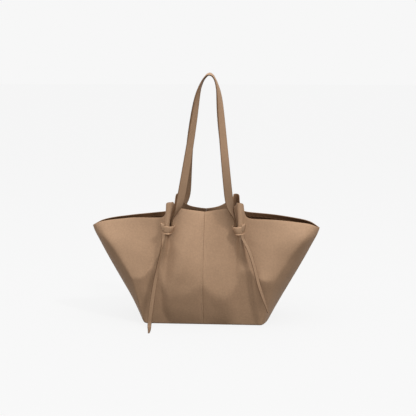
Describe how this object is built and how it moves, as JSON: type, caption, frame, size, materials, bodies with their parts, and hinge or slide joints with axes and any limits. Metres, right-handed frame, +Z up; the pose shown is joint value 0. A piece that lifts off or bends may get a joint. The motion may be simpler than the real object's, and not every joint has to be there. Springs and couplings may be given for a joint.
{
  "type": "tote bag",
  "caption": "Soft leather tote bag with flared winged sides, panels pinched into pipe folds bound by knotted ties, flat base, dark lining and long shoulder straps.",
  "frame": {"origin": "middle of the base's underside, on the surface the bag stands on", "axes": "+Z up towards the handles, +X to the right as seen from the front, +Y to the back; the front faces -Y"},
  "size_m": [0.55, 0.3074, 0.5933],
  "materials": {
    "leather": "fine-grained tan leather, soft sheen",
    "lining": "dark brown twill",
    "board": "stiff fibre sheet",
    "snap": "polished pale metal"
  },
  "bodies": {
    "bag": {"front_left_panel": "leather", "front_left_tie_wrap": "leather", "front_left_strap_end": "leather", "front_right_panel": "leather", "front_right_tie_wrap": "leather", "front_right_strap_end": "leather", "front_lining": "lining", "back_left_panel": "leather", "back_left_tie_wrap": "leather", "back_left_strap_end": "leather", "back_right_panel": "leather", "back_right_tie_wrap": "leather", "back_right_strap_end": "leather", "back_lining": "lining", "base_panel": "leather", "base_board": "board", "base_lining": "lining", "snap_socket": "snap", "snap_stud": "snap"},
    "back_handle": {"back_handle": "leather"},
    "back_left_tie_tail": {"back_left_tie_tail": "leather"},
    "back_right_tie_tail": {"back_right_tie_tail": "leather"},
    "front_handle": {"front_handle": "leather"},
    "front_left_tie_tail": {"front_left_tie_tail": "leather"},
    "front_right_tie_tail": {"front_right_tie_tail": "leather"}
  },
  "joints": [
    {"name": "front_handle_swing", "type": "hinge", "parent": "bag", "child": "front_handle", "pos_m": [0, -0.0711, 0.2423], "axis": [1, 0, 0], "range_deg": [0, 90]},
    {"name": "back_handle_swing", "type": "hinge", "parent": "bag", "child": "back_handle", "pos_m": [0, 0.0711, 0.2423], "axis": [-1, 0, 0], "range_deg": [0, 90]},
    {"name": "front_left_tie_swing", "type": "hinge", "parent": "bag", "child": "front_left_tie_tail", "pos_m": [-0.092, -0.08331, 0.21429], "axis": [-1, 0, 0], "range_deg": [0, 60]},
    {"name": "front_right_tie_swing", "type": "hinge", "parent": "bag", "child": "front_right_tie_tail", "pos_m": [0.092, -0.08331, 0.21429], "axis": [-1, 0, 0], "range_deg": [0, 60]},
    {"name": "back_left_tie_swing", "type": "hinge", "parent": "bag", "child": "back_left_tie_tail", "pos_m": [-0.078, 0.08331, 0.21429], "axis": [1, 0, 0], "range_deg": [0, 60]},
    {"name": "back_right_tie_swing", "type": "hinge", "parent": "bag", "child": "back_right_tie_tail", "pos_m": [0.078, 0.08331, 0.21429], "axis": [1, 0, 0], "range_deg": [0, 60]}
  ]
}
